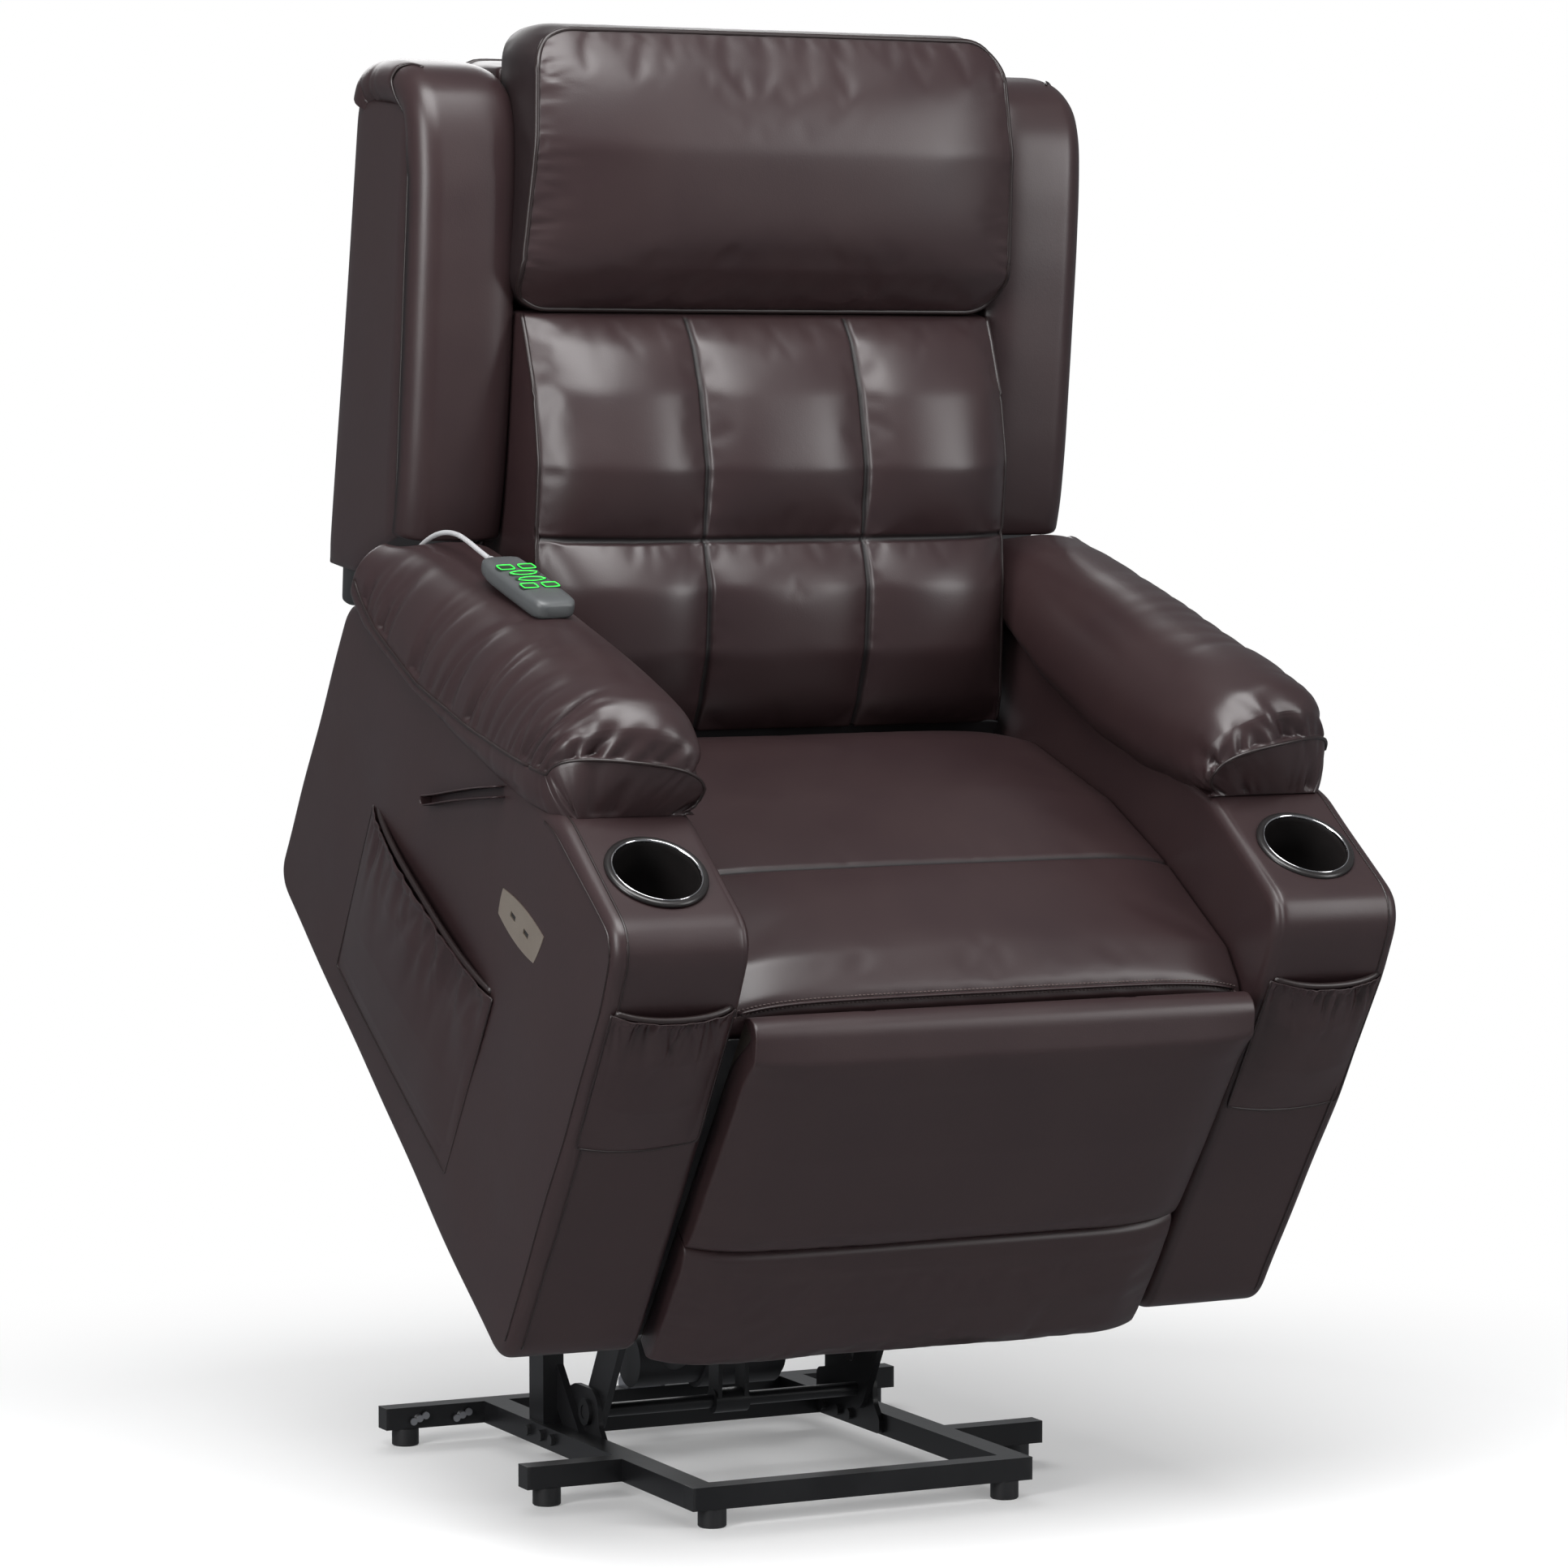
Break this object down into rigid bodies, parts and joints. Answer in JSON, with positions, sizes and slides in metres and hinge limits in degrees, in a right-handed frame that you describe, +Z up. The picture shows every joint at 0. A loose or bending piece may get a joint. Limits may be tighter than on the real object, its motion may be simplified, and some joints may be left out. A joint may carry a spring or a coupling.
{
  "type": "lift recliner chair",
  "caption": "Upholstered powered lift recliner on a steel floor base, shown raised, with cup holders, pockets and a wired handset.",
  "frame": {"origin": "on the floor, under the centre of the lifted chair's bounding box", "axes": "+Z up, -Y the way the sitter faces, +X the sitter's left"},
  "size_m": [0.916, 0.9583, 1.6052],
  "materials": {
    "leather": "glossy dark brown bonded leather",
    "steel_black": "satin black powder coat",
    "steel_bright": "zinc plated",
    "plastic_black": "satin",
    "cup_black": "gloss with a bright rim",
    "motor_housing": "fine grain",
    "timber": "raw plywood",
    "usb_metal": "champagne satin",
    "handset_grey": "satin grey",
    "key_green": "lit green",
    "cord_grey": "light grey sheath",
    "strap": "leather tape"
  },
  "bodies": {
    "base": {"base_rails": "steel_black", "base_front_bar": "steel_black", "base_rear_bar": "steel_black", "outriggers": "steel_black", "tube_end_caps": "plastic_black", "base_feet": "plastic_black", "base_fasteners": "steel_bright", "lift_brackets": "steel_black", "lift_posts": "steel_black", "actuator_clevis": "steel_bright"},
    "front_links": {"front_lift_links": "steel_black", "lift_torque_shaft": "steel_black"},
    "rear_links": {"rear_lift_links": "steel_black"},
    "lift_motor": {"lift_motor_housing": "motor_housing"},
    "lift_actuator_rod": {"lift_rod": "steel_bright"},
    "chair": {"seat_side_boards": "timber", "seat_rails": "timber", "mechanism_plates": "steel_black", "lift_plates": "steel_black", "mechanism_cross_tubes": "steel_black", "chair_pins": "steel_bright", "seat_springs": "steel_bright", "seat_cushion": "leather", "arm_left": "leather", "arm_right": "leather", "arm_pillow_left": "leather", "arm_pillow_right": "leather", "cup_holders": "cup_black", "arm_pockets": "leather", "side_pocket": "leather", "usb_plate": "usb_metal", "pull_strap": "strap", "handset": "handset_grey", "handset_cord": "cord_grey", "cord_gland": "plastic_black", "control_box": "plastic_black", "footrest_hinge_fins": "steel_black"},
    "back": {"back_brackets": "steel_black", "back_cover": "leather", "back_frame": "timber", "lumbar_cushion": "leather", "headrest_pillow": "leather", "wing_left": "leather", "wing_right": "leather"},
    "footrest": {"footrest_board": "timber", "footrest_pad": "leather", "footrest_brackets": "steel_black"},
    "footrest_torque_tube": {"footrest_crank": "steel_black"},
    "footrest_links": {"footrest_couplers": "steel_black"},
    "back_tie_bars": {"tie_bars": "steel_black"},
    "recline_actuator": {"recline_motor": "motor_housing"},
    "recline_actuator_rod": {"recline_rod": "steel_bright"},
    "key_power": {"button_power": "key_green"},
    "key_light": {"button_light": "key_green"},
    "key_back_up": {"button_back_up": "key_green"},
    "key_back_down": {"button_back_down": "key_green"},
    "key_lift_up": {"button_lift_up": "key_green"},
    "key_lift_down": {"button_lift_down": "key_green"}
  },
  "joints": [
    {"name": "lift", "type": "hinge", "parent": "base", "child": "front_links", "pos_m": [0, 0.223, 0.068], "axis": [1, 0, 0], "range_deg": [0, 34.77]},
    {"name": "chair_on_front_links", "type": "hinge", "parent": "front_links", "child": "chair", "pos_m": [0, -0.09014, 0.28537], "axis": [1, 0, 0], "range_deg": [-70.27, 0]},
    {"name": "rear_links_pivot", "type": "hinge", "parent": "base", "child": "rear_links", "pos_m": [0, 0.303, 0.19], "axis": [1, 0, 0], "range_deg": [0, 41.72]},
    {"name": "lift_motor_pivot", "type": "hinge", "parent": "base", "child": "lift_motor", "pos_m": [0, 0.433, 0.07], "axis": [1, 0, 0], "range_deg": [0, 10.1]},
    {"name": "lift_rod_slide", "type": "slide", "parent": "lift_motor", "child": "lift_actuator_rod", "axis": [0, -0.8749, 0.4842], "range_m": [0, 0.0555]},
    {"name": "recline", "type": "hinge", "parent": "chair", "child": "back", "pos_m": [0, 0.1613, 0.81112], "axis": [-1, 0, 0], "range_deg": [0, 42]},
    {"name": "footrest_hinge", "type": "hinge", "parent": "chair", "child": "footrest", "pos_m": [0, -0.43126, 0.56041], "axis": [-1, 0, 0], "range_deg": [0, 85]},
    {"name": "footrest_crank_pivot", "type": "hinge", "parent": "chair", "child": "footrest_torque_tube", "pos_m": [0, -0.23181, 0.51843], "axis": [-1, 0, 0], "range_deg": [0, 85]},
    {"name": "footrest_link_pivot", "type": "hinge", "parent": "footrest_torque_tube", "child": "footrest_links", "pos_m": [0, -0.09287, 0.37187], "axis": [1, 0, 0], "range_deg": [0, 85]},
    {"name": "tie_bar_pivot", "type": "hinge", "parent": "back", "child": "back_tie_bars", "pos_m": [0, 0.20179, 0.75421], "axis": [1, 0, 0], "range_deg": [0, 42.87]},
    {"name": "recline_motor_pivot", "type": "hinge", "parent": "chair", "child": "recline_actuator", "pos_m": [0, -0.0342, 0.4997], "axis": [1, 0, 0], "range_deg": [0, 4.27]},
    {"name": "recline_rod_slide", "type": "slide", "parent": "recline_actuator", "child": "recline_actuator_rod", "axis": [0, 0.6799, 0.7333], "range_m": [-0.0439, 0]},
    {"name": "press_power", "type": "slide", "parent": "chair", "child": "key_power", "axis": [0, 0.3355, -0.9421], "range_m": [0, 0.0008], "stiffness_N_per_m": 1200},
    {"name": "press_light", "type": "slide", "parent": "chair", "child": "key_light", "axis": [0, 0.3355, -0.9421], "range_m": [0, 0.0008], "stiffness_N_per_m": 1200},
    {"name": "press_back_up", "type": "slide", "parent": "chair", "child": "key_back_up", "axis": [0, 0.3355, -0.9421], "range_m": [0, 0.0008], "stiffness_N_per_m": 1200},
    {"name": "press_back_down", "type": "slide", "parent": "chair", "child": "key_back_down", "axis": [0, 0.3355, -0.9421], "range_m": [0, 0.0008], "stiffness_N_per_m": 1200},
    {"name": "press_lift_up", "type": "slide", "parent": "chair", "child": "key_lift_up", "axis": [0, 0.3355, -0.9421], "range_m": [0, 0.0008], "stiffness_N_per_m": 1200},
    {"name": "press_lift_down", "type": "slide", "parent": "chair", "child": "key_lift_down", "axis": [0, 0.3355, -0.9421], "range_m": [0, 0.0008], "stiffness_N_per_m": 1200}
  ],
  "couplings": [
    {"joint": "chair_on_front_links", "follows": "lift", "ratio": -2.0211},
    {"joint": "rear_links_pivot", "follows": "lift", "ratio": 1.1999},
    {"joint": "lift_motor_pivot", "follows": "lift", "ratio": 0.2905},
    {"joint": "lift_rod_slide", "follows": "lift", "m_per_rad": 0.091461},
    {"joint": "footrest_hinge", "follows": "recline", "ratio": 2.0238},
    {"joint": "footrest_crank_pivot", "follows": "recline", "ratio": 2.0238},
    {"joint": "footrest_link_pivot", "follows": "recline", "ratio": 2.0238},
    {"joint": "tie_bar_pivot", "follows": "recline", "ratio": 1.0207},
    {"joint": "recline_motor_pivot", "follows": "recline", "ratio": 0.10167},
    {"joint": "recline_rod_slide", "follows": "recline", "m_per_rad": -0.059887}
  ]
}
